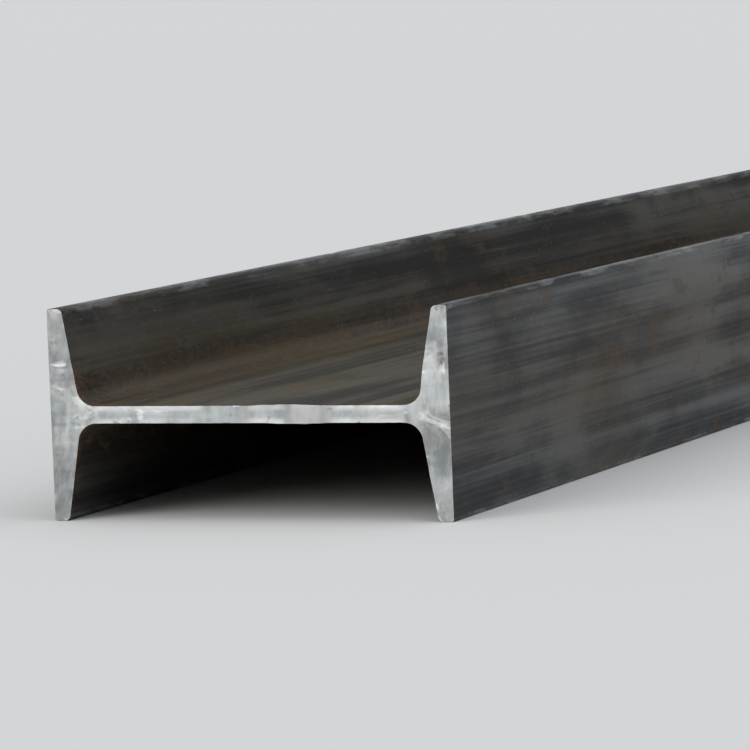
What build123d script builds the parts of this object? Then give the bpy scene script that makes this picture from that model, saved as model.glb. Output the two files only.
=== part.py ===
"""A hot-rolled steel I-beam with tapered flanges, lying on its flange tips with the web level."""

import os

from build123d import *

# Stock, in millimetres
length = 6000.0
depth = 200.0  # across the outer faces of the two flanges
flange_width = 100.0  # from one flange tip to the other, which is the height as it lies

# Thicknesses and taper of the rolled section
web_thickness = 8.4
flange_thickness = 11.4  # halfway along each half flange, where mills state it
flange_slope = 1 / 6  # how far a flange's inner face leans out for each unit towards its tip

# Radii of the rolled section
root_radius = 9.0  # between the web and a flange's inner face
toe_radius = 3.0  # inner edge of a flange tip
edge_radius = 1.0  # outer edge of a flange tip

# Corners of one quarter of the section, from the middle of the web
half_depth = depth / 2
half_width = flange_width / 2
half_web = web_thickness / 2
outstand = half_width - half_web
tip_thickness = flange_thickness - flange_slope * outstand / 2
root_thickness = flange_thickness + flange_slope * outstand / 2


def section_plane():
    """The upright plane across the beam, with its origin in the middle of the web."""
    return Plane(origin=(0, 0, half_width), x_dir=(1, 0, 0), z_dir=(0, -1, 0))


# The whole beam: one quarter outline, mirrored twice, rounded and drawn out to its length
with BuildPart() as i_beam:
    with BuildSketch(section_plane()) as section:
        with BuildLine():
            Polyline(
                (0, 0),
                (half_depth, 0),
                (half_depth, half_width),
                (half_depth - tip_thickness, half_width),
                (half_depth - root_thickness, half_web),
                (0, half_web),
                close=True,
            )
        make_face()
        mirror(about=Plane.XZ)
        mirror(about=Plane.YZ)
        roots, toes, edges = section.vertices().group_by(SortBy.DISTANCE)
        fillet(roots, radius=root_radius)
        fillet(toes, radius=toe_radius)
        fillet(edges, radius=edge_radius)
    extrude(amount=length / 2, both=True)

i_beam.part.label = "i_beam"

os.makedirs("parts", exist_ok=True)
export_step(i_beam.part, "parts/i_beam.step")
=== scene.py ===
"""The looks of a hot-rolled steel I-beam: a fine mesh of it, mill scale, sawn ends and a studio."""

import math
import random

import bpy
import numpy as np
from mathutils import Matrix, Vector, geometry, noise


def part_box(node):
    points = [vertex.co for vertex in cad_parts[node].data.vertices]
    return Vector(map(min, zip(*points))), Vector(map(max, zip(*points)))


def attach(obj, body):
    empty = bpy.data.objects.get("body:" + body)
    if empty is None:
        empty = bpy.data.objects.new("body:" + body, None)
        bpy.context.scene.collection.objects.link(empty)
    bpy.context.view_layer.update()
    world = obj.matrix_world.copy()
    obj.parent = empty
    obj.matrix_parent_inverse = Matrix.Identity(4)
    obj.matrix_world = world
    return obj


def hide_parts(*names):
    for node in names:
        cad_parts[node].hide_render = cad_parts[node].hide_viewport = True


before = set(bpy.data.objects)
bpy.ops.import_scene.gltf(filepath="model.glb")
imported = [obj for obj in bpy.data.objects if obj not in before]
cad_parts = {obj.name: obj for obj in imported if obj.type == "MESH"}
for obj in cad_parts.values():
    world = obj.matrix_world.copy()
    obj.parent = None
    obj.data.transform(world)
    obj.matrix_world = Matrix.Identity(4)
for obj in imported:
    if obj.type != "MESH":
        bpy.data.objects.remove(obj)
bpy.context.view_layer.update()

low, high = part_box("i_beam")
random.seed(7)

# The rolled section, in metres; its depth, width and length come from the frame
depth = high.x - low.x
flange_width = high.z - low.z
length = high.y - low.y
web_thickness = 0.0084
flange_thickness = 0.0114  # halfway along each half flange
flange_slope = 1 / 6
root_radius = 0.009
toe_radius = 0.003
edge_radius = 0.001

# Its corners in one quarter, from the middle of the web
half_depth = depth / 2
half_width = flange_width / 2
half_web = web_thickness / 2
outstand = half_width - half_web
tip_x = half_depth - (flange_thickness - flange_slope * outstand / 2)
root_x = half_depth - (flange_thickness + flange_slope * outstand / 2)

# How finely the rolled faces are divided, in metres
flat_step = 0.005  # along the outline
arc_step = math.radians(8)
fewest_steps = 4  # on any arc or flat
edge_support = 0.0005  # a point this near each arc keeps the flat beside it flat
first_step = 0.0025  # along the beam, beside a sawn end
step_growth = 1.3
body_step = 0.04  # along the beam, away from the ends
least_step = 0.001
sharp_angle = math.radians(40)

# How finely the sawn ends are divided, in metres
cut_parts = 4  # divisions of each outline step
cap_step = 0.002
cap_clearance = 0.8  # between the edge and the grid, in steps
cap_margins = ((0.0003, 1), (0.0007, 2))  # loops inside the edge: how far in, and every how many points
merge_distance = 1e-7

# Unevenness of the rolled faces, in metres
skin = 0.00002  # least depth inside the nominal section
rolling_wave = 0.0001
wave_scale = (9, 2.2)  # features per metre, across and along the beam
ripple_scale = (60, 11)
wave_share, ripple_share = 0.7, 0.3

# Dents knocked into the flange tips, in metres
dents_on_each_tip = 5
dent_end_gap = 0.03
dent_stretch = (0.15, 0.85)  # where each dent falls on its own stretch of the tip
dent_crowding = 1.6  # above 1, the dents draw together towards the near end
dent_inset = (0.0004, 0.007)  # from the flange's outer face
dent_radius = (0.0025, 0.006)
dent_deep = (0.0002, 0.0006)
dent_stations = (-0.9, 0, 0.9)  # where the outline is repeated across a dent, in dent radii

# The sawn edges, in metres
cut_edge_mean = 0.00012  # broken edge between a rolled face and a sawn end
cut_edge_swing = 0.00008
cut_edge_scale = 300
burr_reach = 0.0006
burr_scale = 22
burr_start = 0.12  # the burr grows where its noise is above this
burr_growth = 2.2
teeth_scale = 190
teeth_growth = 1.6
teeth_shift = 9  # from the burr's own layer of noise
burr_blunting = 0.3  # of its reach; past this, the burr has taken up the broken edge
near_burr, far_burr = 3.0, 31.0  # where in the noise each end's burr is read
edge_loops = (  # distance from the cut, share of the burr and share of the broken edge
    (0.0012, 0.0, 0.0),
    (0.0004, 0.15, 0.0),
    (0.0001, 0.65, 0.25),
    (0.0, 1.0, 1.0),
)

# The saw that cut the ends, in metres
blade_radius = 0.6
blade_height = 0.12  # of its middle above the floor

# Where a mark of the section fades from 1 to 0, in metres
tip_fade = (0.002, 0.007)  # below the tip
root_fade = (0.004, 0.042)  # from the root
web_fade = (-0.012, -0.002)  # before the root, across the web
inner_fade = (0.0, 0.004)  # past the toe, across the tip

# The map: the rolled skin as one strip, with more room near the ends, and the two sawn ends above it
strip_places = (  # metres from an end, share of half the strip
    (0.0, 0.0),
    (0.002, 0.012),
    (0.5, 0.32),
    (length / 2, 1.0),
)
strip_margin = 0.006
strip_height = 0.73
tile_margin = 0.005
tile_width = 0.49
tile_floor = 0.745

# The studio: its sizes, in metres, and then its paper and light
floor_radius = 68.0
cove_radius = 14.0
cove_steps = 14
cove_angles = (0.08, math.pi / 2.2)
floor_turns = 96
paper = (0.70, 0.70, 0.69, 1)
paper_roughness = 0.9
air = (0.93, 0.96, 1.0, 1)
air_strength = 0.55
warm_light = (1.0, 0.99, 0.97)
cool_light = (0.97, 0.98, 1.0)

# The photo's viewpoint
camera_lens = 266.1
camera_sensor = 36
camera_reach = (0.1, 300)
camera_place = Vector((0.9734, -5.3674, 0.2827))
camera_direction = Vector((-0.35735, 0.93015, -0.08437))
camera_roll = math.radians(-2.214)

ROLLED, SAWN = 0, 1


def section_corners():
    """The twelve corners of the section with their radii, clockwise, as (x, z, radius)."""
    quarter = [
        (root_x, half_web, root_radius),
        (tip_x, half_width, toe_radius),
        (half_depth, half_width, edge_radius),
    ]
    corners = []
    for side_x, side_z in ((1, 1), (1, -1), (-1, -1), (-1, 1)):
        turned = quarter if side_x == side_z else quarter[::-1]
        corners += [(side_x * x, side_z * z, radius) for x, z, radius in turned]
    return corners


def arc_points(before, corner, after, radius):
    """Points along the arc that rounds a corner, from one tangent point to the other."""
    corner = np.array(corner)
    back = np.array(before) - corner
    back /= np.linalg.norm(back)
    on = np.array(after) - corner
    on /= np.linalg.norm(on)
    half_angle = math.acos(float(back @ on)) / 2
    centre = corner + (back + on) / np.linalg.norm(back + on) * radius / math.sin(half_angle)
    start = corner + back * radius / math.tan(half_angle) - centre
    end = corner + on * radius / math.tan(half_angle) - centre
    sweep = math.pi - 2 * half_angle
    steps = max(fewest_steps, round(sweep / arc_step))
    shares = np.linspace(0, 1, steps + 1)[:, None]
    return centre + (np.sin((1 - shares) * sweep) * start + np.sin(shares * sweep) * end) / math.sin(sweep)


def section_outline():
    """The closed outline of the section about its middle, clockwise, as an array of (x, z)."""
    corners = section_corners()
    arcs = []
    for i, (x, z, radius) in enumerate(corners):
        before = corners[i - 1][:2]
        after = corners[(i + 1) % len(corners)][:2]
        arcs.append(arc_points(before, (x, z), after, radius))
    points = []
    for i, arc in enumerate(arcs):
        points += list(arc)
        start, end = arc[-1], arcs[(i + 1) % len(arcs)][0]
        run = np.linalg.norm(end - start)
        along = (end - start) / run
        steps = max(fewest_steps, round(run / flat_step))
        points += [start + along * place for place in np.linspace(edge_support, run - edge_support, steps)]
    return np.array(points)


def normals_of(outline):
    """Outward unit normals of a closed clockwise outline."""
    along = np.roll(outline, -1, axis=0) - np.roll(outline, 1, axis=0)
    normals = np.stack([-along[:, 1], along[:, 0]], axis=1)
    return normals / np.linalg.norm(normals, axis=1)[:, None]


def divided(loop):
    """A closed loop of points or values with each step divided into equal parts."""
    after = np.roll(loop, -1, axis=0)
    shares = np.arange(cut_parts)[None, :, None] / cut_parts
    return (loop[:, None] * (1 - shares) + after[:, None] * shares).reshape(-1, loop.shape[1])


class Dent:
    """A small dent knocked into a flange tip."""

    def __init__(self, side_x, side_z, y):
        self.place = np.array([side_x * (half_depth - random.uniform(*dent_inset)), side_z * half_width])
        self.y = y
        self.radius = random.uniform(*dent_radius)
        self.deep = random.uniform(*dent_deep)

    def inward(self, points, y):
        """How far each outline point moves inward at a place along the beam."""
        square = ((points - self.place) ** 2).sum(1) + (y - self.y) ** 2
        return self.deep * np.exp(-square / (2 * (self.radius / 2) ** 2))


def tip_dents():
    """Dents scattered along the four flange tips, closer together towards the near end."""
    dents = []
    for side_x in (-1, 1):
        for side_z in (-1, 1):
            for part in range(dents_on_each_tip):
                share = (part + random.uniform(*dent_stretch)) / dents_on_each_tip
                y = dent_end_gap - length / 2 + share ** dent_crowding * (length - 2 * dent_end_gap)
                dents.append(Dent(side_x, side_z, y))
    return dents


def station_places(dents):
    """Places of the outline along the beam: close together at the sawn ends and across each dent."""
    half = [length / 2 - first_step]
    step = first_step
    while half[-1] > body_step:
        half.append(half[-1] - step)
        step = min(step * step_growth, body_step)
    places = half + [-place for place in half]
    for dent in dents:
        places += [dent.y + share * dent.radius for share in dent_stations]
    places.sort()
    kept = [places[0]]
    for place in places[1:]:
        if place - kept[-1] > least_step:
            kept.append(place)
    return kept


def noise_at(x, y, z, scale, shift=0.0):
    """Smooth noise from -1 to 1, with its features per metre across and along the beam."""
    across, along = scale
    return noise.noise(Vector((x * across, y * along, z * across + shift)))


def rolled_depth(points, y, dents):
    """How far inside the nominal section the rolled skin lies, at each outline point."""
    inward = np.empty(len(points))
    for i, (x, z) in enumerate(points):
        wave = wave_share * noise_at(x, y, z, wave_scale, shift=4)
        ripple = ripple_share * noise_at(x, y, z, ripple_scale)
        inward[i] = skin + rolling_wave * (1 + wave + ripple) / 2
    for dent in dents:
        if abs(y - dent.y) < 3 * dent.radius:
            inward += dent.inward(points, y)
    return inward


def noise_on_cut(points, scale, layer):
    """Smooth noise from -1 to 1 at each point of a sawn end."""
    return np.array([noise.noise(Vector((x * scale, z * scale, layer))) for x, z in points])


def burr_at(points, layer):
    """How far the saw has dragged the cut edge out past the rolled face, at each outline point."""
    stretches = noise_on_cut(points, burr_scale, layer)
    teeth = noise_on_cut(points, teeth_scale, layer + teeth_shift)
    reach = np.clip(np.maximum(0, stretches - burr_start) * (burr_growth + teeth_growth * teeth), 0, 1)
    clear = np.minimum(half_depth - np.abs(points[:, 0]), half_width - np.abs(points[:, 1]))
    room = np.clip(clear / burr_reach - 1, 0, 1)  # none on the outer faces, so the overall size stays true
    return reach * room * burr_reach


def distance_to(loop, points):
    """The distance of each point from a closed loop."""
    start = loop[None]
    along = np.roll(loop, -1, axis=0)[None] - start
    offset = points[:, None] - start
    share = np.clip((offset * along).sum(2) / (along ** 2).sum(2), 0, 1)
    return np.sqrt(((offset - along * share[..., None]) ** 2).sum(2)).min(1)


def lies_inside(loop, point):
    """True if a point lies inside a closed loop."""
    after = np.roll(loop, -1, axis=0)
    spans = (loop[:, 1] > point[1]) != (after[:, 1] > point[1])
    start, end = loop[spans], after[spans]
    share = (point[1] - start[:, 1]) / (end[:, 1] - start[:, 1])
    beyond = start[:, 0] + share * (end[:, 0] - start[:, 0]) > point[0]
    return beyond.sum() % 2 == 1


def cap_points(loop):
    """The points of a sawn end: its edge loop, loops a little inside it, and a grid over the rest."""
    normals = normals_of(loop)
    inner = [loop[::every] - normals[::every] * margin for margin, every in cap_margins]
    across = np.arange(-half_depth, half_depth, cap_step)
    upward = np.arange(0, flange_width, cap_step)
    grid = np.stack(np.meshgrid(across, upward), axis=-1).reshape(-1, 2)
    clear = distance_to(loop, grid) > cap_step * cap_clearance
    inside = np.array([lies_inside(loop, point) for point in grid])
    return np.concatenate([loop, *inner, grid[clear & inside]])


class Skin:
    """The beam's vertices and faces as they are made."""

    def __init__(self):
        self.vertices = []
        self.around = []  # each vertex's place round the outline, as a share
        self.rim = []  # each vertex's distance from the nearest sawn edge
        self.faces = []
        self.slots = []

    def ring(self, points, y):
        """Adds a ring of vertices across the beam and returns their numbers."""
        start = len(self.vertices)
        self.vertices.extend((x, y, z + half_width) for x, z in points)
        self.around.extend(i / len(points) for i in range(len(points)))
        self.rim.extend([length / 2 - abs(y)] * len(points))
        return list(range(start, len(self.vertices)))

    def join(self, near, far):
        """Joins two like rings with quads, near to far along the beam."""
        for i in range(len(near)):
            self.faces.append((near[i - 1], near[i], far[i], far[i - 1]))
            self.slots.append(ROLLED)

    def widen(self, coarse, fine, side):
        """Joins a coarse ring to one with more points, further out along the beam."""
        for i in range(len(coarse)):
            arc = [fine[(i - 1) * cut_parts + k] for k in range(cut_parts)] + [fine[i * cut_parts]]
            face = (coarse[i], coarse[i - 1], *arc)
            self.faces.append(face[::-side])
            self.slots.append(ROLLED)

    def cap(self, ring, side):
        """Closes a sawn end with a fine flat mesh."""
        loop = np.array([(self.vertices[v][0], self.vertices[v][2]) for v in ring])
        edges = [(i, (i + 1) % len(loop)) for i in range(len(loop))]
        points = [Vector(point) for point in cap_points(loop)]
        flat, _, triangles, *_ = geometry.delaunay_2d_cdt(points, edges, [], 1, merge_distance)
        added = flat[len(loop):]
        numbers = ring + list(range(len(self.vertices), len(self.vertices) + len(added)))
        self.vertices.extend((point.x, side * length / 2, point.y) for point in added)
        self.around.extend([0.0] * len(added))
        self.rim.extend(distance_to(loop, np.array([tuple(point) for point in added])))
        for triangle in triangles:
            face = tuple(numbers[i] for i in triangle)
            self.faces.append(face[::-side])
            self.slots.append(SAWN)


def rolled_body(made, outline, dents):
    """Adds the rolled skin between the cuts and returns its first and last rings."""
    normals = normals_of(outline)
    rings = []
    for y in station_places(dents):
        inward = rolled_depth(outline, y, dents)
        rings.append(made.ring(outline - normals * inward[:, None], y))
    for near, far in zip(rings, rings[1:]):
        made.join(near, far)
    return rings[0], rings[-1]


def sawn_end(made, joined, side, layer, outline, dents):
    """Adds the last few millimetres of one end, with their burr and broken edge, and closes it."""
    end = side * length / 2
    fine, normals = divided(outline), divided(normals_of(outline))
    inward = divided(rolled_depth(outline, end, dents)[:, None])[:, 0]
    burr = burr_at(fine, layer)
    broken = cut_edge_mean + cut_edge_swing * noise_on_cut(fine, cut_edge_scale, end)
    broken *= np.clip(1 - burr / (burr_blunting * burr_reach), 0, 1)
    loops = []
    for back, burr_share, edge_share in edge_loops:
        out = burr_share * burr - inward - edge_share * broken
        loops.append(made.ring(fine + normals * out[:, None], end - side * back))
    made.widen(joined, loops[0], side)
    for inner, outer in zip(loops, loops[1:]):
        if side > 0:
            made.join(inner, outer)
        else:
            made.join(outer, inner)
    made.cap(loops[-1], side)


def beam_skin():
    """The whole beam as one closed skin with its marks."""
    outline = section_outline()
    dents = tip_dents()
    made = Skin()
    first, last = rolled_body(made, outline, dents)
    sawn_end(made, first, -1, near_burr, outline, dents)
    sawn_end(made, last, 1, far_burr, outline, dents)
    return made


def faded(value, start, end):
    """1 before start, 0 after end, and smooth between them."""
    share = np.clip((value - start) / (end - start), 0, 1)
    return 1 - share * share * (3 - 2 * share)


def surface_marks(made):
    """Where each vertex lies on the section, for the materials."""
    places = np.array(made.vertices)
    x = np.abs(places[:, 0])
    z = np.abs(places[:, 2] - half_width)
    return {
        "tip": faded(half_width - z, *tip_fade),
        "root": faded(np.hypot(x - root_x, z - half_web), *root_fade),
        "web": faded(x - root_x, *web_fade),
        "inner": faded(x - tip_x, *inner_fade),
        "rim": np.array(made.rim),
    }


def strip_place(y, share):
    """Where a point of the rolled skin lies on the map, by its places along the beam and round it."""
    distances, shares = zip(*strip_places)
    along = (0.5 - strip_margin) * float(np.interp(length / 2 - abs(y), distances, shares))
    u = strip_margin + along if y < 0 else 1 - strip_margin - along
    return u, strip_margin + (strip_height - strip_margin) * share


def tile_place(x, y, z):
    """Where a point of a sawn end lies on the map: the near end on the left, the far end on the right."""
    left, across = (tile_margin, x) if y < 0 else (0.5 + tile_margin, -x)
    return left + tile_width * (0.5 + across / depth), tile_floor + tile_width / 2 * z / flange_width


def map_places(made):
    """Each face corner's place on the map."""
    places = []
    for face, slot in zip(made.faces, made.slots):
        if slot == SAWN:
            places += [tile_place(*made.vertices[v]) for v in face]
            continue
        shares = [made.around[v] for v in face]
        if max(shares) - min(shares) > 0.5:
            shares = [share + 1 if share < 0.5 else share for share in shares]
        places += [strip_place(made.vertices[v][1], share) for v, share in zip(face, shares)]
    return places


def beam_object():
    """The beam as an object, with its marks as attributes and its map."""
    made = beam_skin()
    mesh = bpy.data.meshes.new("i_beam_skin")
    mesh.from_pydata(made.vertices, [], made.faces)
    mesh.polygons.foreach_set("material_index", made.slots)
    mesh.polygons.foreach_set("use_smooth", [True] * len(made.faces))
    mesh.set_sharp_from_angle(angle=sharp_angle)
    for name, values in surface_marks(made).items():
        mesh.attributes.new(name, "FLOAT", "POINT").data.foreach_set("value", values.astype(np.float32))
    uv_map = mesh.uv_layers.new(name="OFBake")
    uv_map.data.foreach_set("uv", np.array(map_places(made), np.float32).ravel())
    made_object = bpy.data.objects.new("i_beam_skin", mesh)
    bpy.context.scene.collection.objects.link(made_object)
    return made_object


class Shader:
    """A material's nodes, added one at a time."""

    def __init__(self, name):
        self.material = bpy.data.materials.new(name)
        self.material.use_nodes = True
        self.tree = self.material.node_tree
        self.surface = self.tree.nodes["Principled BSDF"]
        self.place = self.node("ShaderNodeTexCoord").outputs["Object"]

    def node(self, kind, inputs=None, **settings):
        """Adds a node, with constants or other nodes' outputs on its inputs."""
        made = self.tree.nodes.new(kind)
        for name, value in settings.items():
            setattr(made, name, value)
        for name, value in (inputs or {}).items():
            self.feed(made.inputs[name], value)
        return made

    def feed(self, socket, value):
        """Sets a socket to a constant, or links an output to it."""
        if isinstance(value, bpy.types.NodeSocket):
            self.tree.links.new(value, socket)
        else:
            socket.default_value = value

    def mark(self, name):
        """One of the mesh's marks."""
        return self.node("ShaderNodeAttribute", attribute_name=name).outputs["Fac"]

    def turned(self, across, level):
        """Places on the beam turned about two axes, so that marks stretched along it run askew."""
        inputs = {"Vector": self.place, "Rotation": (math.radians(across), 0, math.radians(level))}
        return self.node("ShaderNodeMapping", inputs).outputs["Vector"]

    def noise(self, scale, detail=3.0, roughness=0.5, distortion=0.0, shift=0.0, place=None):
        """Noise from 0 to 1, with its features per metre along each axis."""
        inputs = {"Vector": place or self.place, "Location": (shift, shift, shift), "Scale": scale}
        mapped = self.node("ShaderNodeMapping", inputs).outputs["Vector"]
        inputs = {"Vector": mapped, "Scale": 1.0, "Detail": detail, "Roughness": roughness}
        return self.node("ShaderNodeTexNoise", inputs | {"Distortion": distortion}).outputs["Fac"]

    def band(self, value, start, end, first=0.0, last=1.0):
        """Turns a value smoothly from first, at start, to last, at end."""
        inputs = {"Value": value, "From Min": start, "From Max": end, "To Min": first, "To Max": last}
        return self.node("ShaderNodeMapRange", inputs, interpolation_type="SMOOTHSTEP").outputs["Result"]

    def times(self, first, second):
        """One value times another."""
        made = self.node("ShaderNodeMath", operation="MULTIPLY")
        self.feed(made.inputs[0], first)
        self.feed(made.inputs[1], second)
        return made.outputs["Value"]

    def total(self, *parts, start=0.0):
        """The sum of values, each given with its weight."""
        for value, weight in parts:
            made = self.node("ShaderNodeMath", operation="MULTIPLY_ADD")
            for socket, fed in zip(made.inputs, (value, weight, start)):
                self.feed(socket, fed)
            start = made.outputs["Value"]
        return start

    def mix(self, share, first, second, blend_type="MIX"):
        """A colour between two colours."""
        inputs = {"Fac": share, "Color1": first, "Color2": second}
        return self.node("ShaderNodeMixRGB", inputs, blend_type=blend_type).outputs["Color"]

    def paint(self, under, over, where, strength=1.0):
        """Lays one colour over another where a mask is high."""
        return self.mix(self.times(where, strength), under, over)

    def finish(self, colour, roughness, height):
        """Gives the surface its colour, its roughness and its relief, as a height in metres."""
        bump = self.node("ShaderNodeBump", {"Height": height, "Strength": 1.0, "Distance": 1.0})
        self.feed(self.surface.inputs["Base Color"], colour)
        self.feed(self.surface.inputs["Roughness"], roughness)
        self.feed(self.surface.inputs["Normal"], bump.outputs["Normal"])
        return self.material


# Colours of the rolled faces, in linear light
scale_dark = (0.010, 0.0125, 0.016, 1)
scale_pale = (0.047, 0.0495, 0.052, 1)
cloud_dark = (0.009, 0.0105, 0.013, 1)
cloud_pale = (0.062, 0.0615, 0.0575, 1)
film_dark = (0.034, 0.0265, 0.0135, 1)
film_pale = (0.076, 0.059, 0.029, 1)
flaked_brown = (0.115, 0.083, 0.056, 1)
flaked_grey = (0.095, 0.089, 0.082, 1)
rust = (0.116, 0.060, 0.030, 1)
rubbed_steel = (0.25, 0.255, 0.26, 1)
scratch = (0.22, 0.22, 0.215, 1)
grit = (0.29, 0.275, 0.25, 1)


def rusted_places(made, root, rim, flaked):
    """Fine rust, thickest in the roots, on flaked patches and beside the sawn ends."""
    bloom = made.noise((330, 170, 330), detail=5, roughness=0.8, shift=17)
    helped = made.total(
        (bloom, 1.0),
        (made.band(root, 0.60, 0.97), 0.16),
        (flaked, 0.035),
        (made.band(rim, 0.008, 0.001), 0.12),
    )
    return made.band(helped, 0.60, 0.86)


def scored_places(made):
    """Two sets of hairline scratches, askew to the beam and to each other."""
    first = made.noise((1500, 9, 1500), detail=1, shift=29, place=made.turned(9, 7))
    second = made.noise((1300, 14, 1300), detail=1, shift=31, place=made.turned(-17, -14))
    return made.total((made.band(first, 0.72, 0.78), 1.0), (made.band(second, 0.73, 0.79), 1.0))


def mill_scale():
    """Dark oxide skin of the rolled faces, streaked along the beam, with brown film towards the roots."""
    made = Shader("mill_scale")
    root, web, inner, tip, rim = (made.mark(name) for name in ("root", "web", "inner", "tip", "rim"))
    streaks = made.noise((520, 4, 520), detail=4, roughness=0.62)
    bands = made.noise((70, 1.3, 70), detail=3, shift=3)
    clouds = made.noise((17, 6, 17), detail=5, roughness=0.58, distortion=0.4, shift=7)
    clusters = made.noise((9, 3.5, 9), detail=2, shift=9)
    flakes = made.noise((80, 34, 80), detail=7, roughness=0.68, shift=11)
    rubs = made.noise((90, 16, 90), detail=6, roughness=0.7, shift=19)
    specks = made.noise((330, 330, 330), detail=1, shift=23)
    grain = made.noise((700, 700, 700), detail=3, roughness=0.7, shift=13)

    lengthwise = made.total((streaks, 0.4), (bands, 0.6))
    tone = made.band(lengthwise, 0.39, 0.63)
    film = made.total((root, 0.55), (web, 0.6), (inner, 0.3), (made.band(clusters, 0.5, 0.66), 0.35))
    film = made.times(film, made.band(made.total((clouds, 1.0), (streaks, 1.0)), 0.78, 1.18, 0.35, 1.0))
    flaked = made.band(made.total((flakes, 1.0), (clusters, 0.35)), 0.75, 0.80)
    flaked_colour = made.mix(made.band(clouds, 0.40, 0.60), flaked_brown, flaked_grey)
    rubbed = made.times(made.band(tip, 0.75, 1.0), made.band(rubs, 0.47, 0.62))
    scored = scored_places(made)

    colour = made.mix(tone, scale_dark, scale_pale)
    colour = made.paint(colour, cloud_pale, made.band(clouds, 0.50, 0.66), 0.75)
    colour = made.paint(colour, cloud_dark, made.band(clouds, 0.46, 0.34), 0.7)
    colour = made.paint(colour, made.mix(tone, film_dark, film_pale), film)
    colour = made.paint(colour, flaked_colour, flaked, 0.45)
    colour = made.paint(colour, rust, rusted_places(made, root, rim, flaked), 0.8)
    colour = made.paint(colour, rubbed_steel, rubbed, 0.6)
    colour = made.paint(colour, scratch, scored, 0.35)
    colour = made.paint(colour, grit, made.times(made.band(specks, 0.75, 0.78), web), 0.7)

    sheen = made.band(made.total((clouds, 1.0), start=lengthwise), 0.85, 1.15, 0.62, 0.36)
    roughness = made.total((flaked, 0.18), (film, 0.28), (rubbed, -0.08), start=sheen)
    height = made.total((grain, 0.00005), (streaks, 0.00005), (clouds, 0.0012))
    height = made.total((flaked, -0.00008), (scored, -0.00003), start=height)
    made.feed(made.surface.inputs["Metallic"], made.times(rubbed, 0.7))
    made.surface.inputs["Specular IOR Level"].default_value = 0.25
    return made.finish(colour, roughness, height)


# Colours of the sawn ends, in linear light
sawn_dark = (0.25, 0.260, 0.265, 1)
sawn_pale = (0.69, 0.702, 0.702, 1)
sawn_even = (0.53, 0.541, 0.542, 1)  # laid over the web's end, which is the evenest part
sawn_shade = (0.16, 0.165, 0.17, 1)
cool_tint = (0.962, 0.988, 0.996, 1)
warm_tint = (1.0, 0.983, 0.96, 1)
# Painted highlight: near-white reflection patches painted into the colour of the sawn ends
painted_highlight = (0.92, 0.93, 0.93, 1)
# The lighter rim along the sawn edges: partly real burnish, partly a painted edge highlight
burnish_and_highlight = (0.88, 0.89, 0.89, 1)
rust_speck = (0.16, 0.10, 0.06, 1)
dirt = (0.15, 0.13, 0.105, 1)


def blade_arcs(made):
    """Places on a sawn end, bowed so that upright marks follow the blade's sweep."""
    axes = made.node("ShaderNodeSeparateXYZ", {"Vector": made.place}).outputs
    above = made.total((axes["Z"], 1.0), start=-blade_height)
    bowed = made.total((axes["X"], 1.0), (made.times(above, above), 1 / (2 * blade_radius)))
    return made.node("ShaderNodeCombineXYZ", {"X": bowed, "Z": axes["Z"]}).outputs["Vector"]


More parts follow.
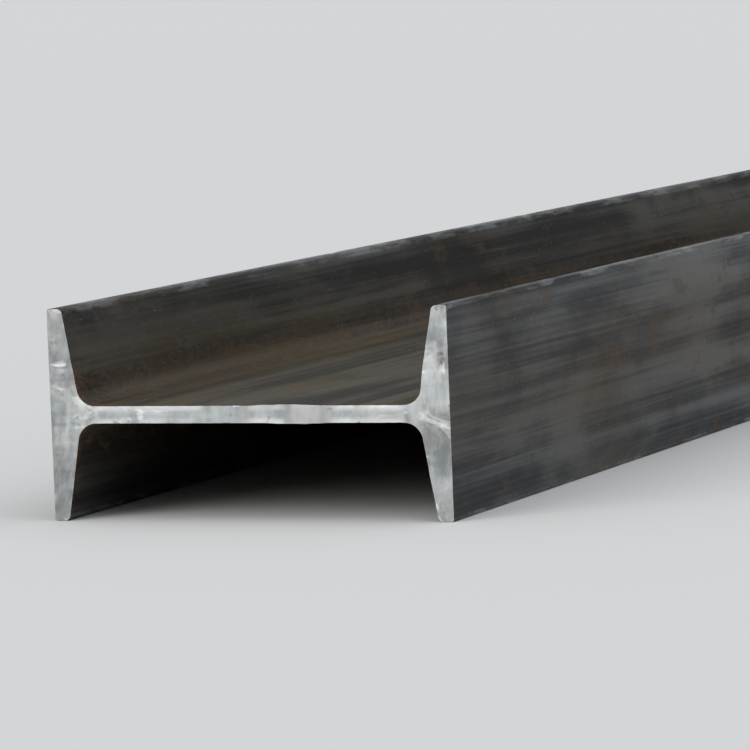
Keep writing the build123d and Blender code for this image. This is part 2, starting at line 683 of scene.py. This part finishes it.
def sawn_steel():
    """Bright sawn steel, clouded and barred by the blade's arcs, with spots of dirt; painted highlights
    lie in patches and along the web's edges, and a lighter rim is partly burnish, partly painted
    highlight.
    """
    made = Shader("sawn_steel")
    rim, web = made.mark("rim"), made.mark("web")
    arcs = blade_arcs(made)
    bars = made.noise((110, 1, 26), detail=3, distortion=0.35, shift=2, place=arcs)
    lines = made.noise((1000, 1, 10), detail=2, roughness=0.6, shift=27, place=arcs)
    strips = made.noise((16, 1, 90), detail=2, distortion=0.5, shift=5)
    clouds = made.noise((62, 1, 44), detail=3, roughness=0.45, distortion=0.8, shift=9)
    mottle = made.noise((230, 1, 150), detail=3, roughness=0.6, distortion=0.6, shift=12)
    tints = made.noise((55, 1, 55), detail=3, shift=33)
    shades = made.noise((15, 1, 15), detail=1, distortion=0.6, shift=41)
    highlight_noise = made.noise((50, 1, 75), detail=4, roughness=0.55, distortion=1.0, shift=15)
    edge_stretches = made.noise((24, 1, 24), detail=2, shift=35)
    breaks = made.noise((220, 220, 220), detail=3, shift=25)
    specks = made.noise((260, 1, 260), detail=2, shift=21)
    spots = made.noise((80, 1, 80), detail=5, roughness=0.62, distortion=0.3, shift=57)

    tone = made.total((bars, 0.36), (clouds, 0.35), (strips, 0.1), (mottle, 0.23), (lines, 0.045))
    bright = made.band(tone, 0.4225, 0.6725)
    # Painted edge highlight: stretches near the cut edges, used on the web's end
    edge_highlight = made.times(made.band(rim, 0.0034, 0.0008), made.band(edge_stretches, 0.5, 0.58))
    # A thin rim at the cut edge, broken by noise: partly real burnish, partly a painted edge highlight
    rubbed = made.times(made.band(rim, 0.0005, 0.0), made.band(breaks, 0.42, 0.6))
    soiled = made.band(spots, 0.60, 0.69)

    colour = made.mix(bright, sawn_dark, sawn_pale)
    colour = made.paint(colour, sawn_even, web, 0.45)
    colour = made.mix(1.0, colour, made.mix(made.band(tints, 0.4, 0.6), cool_tint, warm_tint), "MULTIPLY")
    colour = made.paint(colour, sawn_shade, made.band(shades, 0.40, 0.62), 0.24)
    # Painted highlights: soft bright reflection patches laid into the colour
    colour = made.paint(colour, painted_highlight, made.band(highlight_noise, 0.57, 0.70), 0.8)
    # Painted highlight along stretches of the web's cut edges
    colour = made.paint(colour, painted_highlight, made.times(edge_highlight, web), 0.55)
    # Lighter rim along the cut edge, partly burnish and partly painted highlight
    colour = made.paint(colour, burnish_and_highlight, rubbed, 0.22)
    colour = made.paint(colour, rust_speck, made.band(specks, 0.715, 0.74), 0.6)
    colour = made.paint(colour, dirt, soiled, 0.75)

    roughness = made.total((bright, -0.12), (soiled, 0.25), start=0.43)
    height = made.total((bars, 0.00022), (clouds, 0.0007), (strips, 0.0003), (lines, 0.000012))
    made.feed(made.surface.inputs["Metallic"], made.total((soiled, -0.6), start=1.0))
    return made.finish(colour, roughness, height)


def plain(name, colour, roughness):
    """A plain material for the studio."""
    made = Shader(name)
    made.surface.inputs["Base Color"].default_value = colour
    made.surface.inputs["Roughness"].default_value = roughness
    return made.material


def studio_floor():
    """A wide pale floor that curves up into a low wall, far behind every view."""
    profile = [(floor_radius, 0.0)]
    for a in np.linspace(*cove_angles, cove_steps):
        profile.append((floor_radius + cove_radius * math.sin(a), cove_radius * (1 - math.cos(a))))
    vertices = [(0.0, 0.0, 0.0)]
    for radius, height in profile:
        for k in range(floor_turns):
            a = 2 * math.pi * k / floor_turns
            vertices.append((radius * math.cos(a), radius * math.sin(a), height))
    faces = [(0, 1 + k, 1 + (k + 1) % floor_turns) for k in range(floor_turns)]
    for ring in range(len(profile) - 1):
        start = 1 + ring * floor_turns
        for k in range(floor_turns):
            on = (k + 1) % floor_turns
            faces.append((start + k, start + floor_turns + k, start + floor_turns + on, start + on))
    mesh = bpy.data.meshes.new("studio_floor")
    mesh.from_pydata(vertices, [], faces)
    mesh.polygons.foreach_set("use_smooth", [True] * len(faces))
    mesh.materials.append(plain("studio_paper", paper, paper_roughness))
    floor = bpy.data.objects.new("studio_floor", mesh)
    bpy.context.scene.collection.objects.link(floor)


def sun(name, azimuth, elevation, strength, spread, colour):
    """A soft sun, shining from an azimuth off the near end, to the right, and an elevation."""
    lamp = bpy.data.lights.new(name, "SUN")
    lamp.energy = strength
    lamp.angle = math.radians(spread)
    lamp.color = colour
    made = bpy.data.objects.new(name, lamp)
    turn, rise = math.radians(azimuth), math.radians(elevation)
    towards = Vector((math.sin(turn) * math.cos(rise), -math.cos(turn) * math.cos(rise), math.sin(rise)))
    made.rotation_euler = towards.to_track_quat("Z", "Y").to_euler()
    bpy.context.scene.collection.objects.link(made)


def studio():
    """Plain soft light: the world's own, and three wide suns."""
    world = bpy.data.worlds.new("studio_air")
    world.use_nodes = True
    background = world.node_tree.nodes["Background"]
    background.inputs["Color"].default_value = air
    background.inputs["Strength"].default_value = air_strength
    bpy.context.scene.world = world
    sun("key", azimuth=-30, elevation=24, strength=1.3, spread=40, colour=warm_light)
    sun("top", azimuth=40, elevation=70, strength=0.8, spread=60, colour=cool_light)
    sun("fill", azimuth=110, elevation=30, strength=0.15, spread=60, colour=cool_light)
    bpy.context.scene.view_settings.view_transform = "Standard"


def camera():
    """The photo's viewpoint on the near end, with its slight roll."""
    lens = bpy.data.cameras.new("camera")
    lens.sensor_width = camera_sensor
    lens.lens = camera_lens
    lens.clip_start, lens.clip_end = camera_reach
    made = bpy.data.objects.new("camera", lens)
    aim = camera_direction.to_track_quat("-Z", "Y").to_matrix().to_4x4()
    made.matrix_world = Matrix.Translation(camera_place) @ aim @ Matrix.Rotation(camera_roll, 4, "Z")
    bpy.context.scene.collection.objects.link(made)
    bpy.context.scene.camera = made


beam = beam_object()
beam.data.materials.append(mill_scale())
beam.data.materials.append(sawn_steel())
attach(beam, "root")
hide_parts("i_beam")

studio_floor()
studio()
camera()
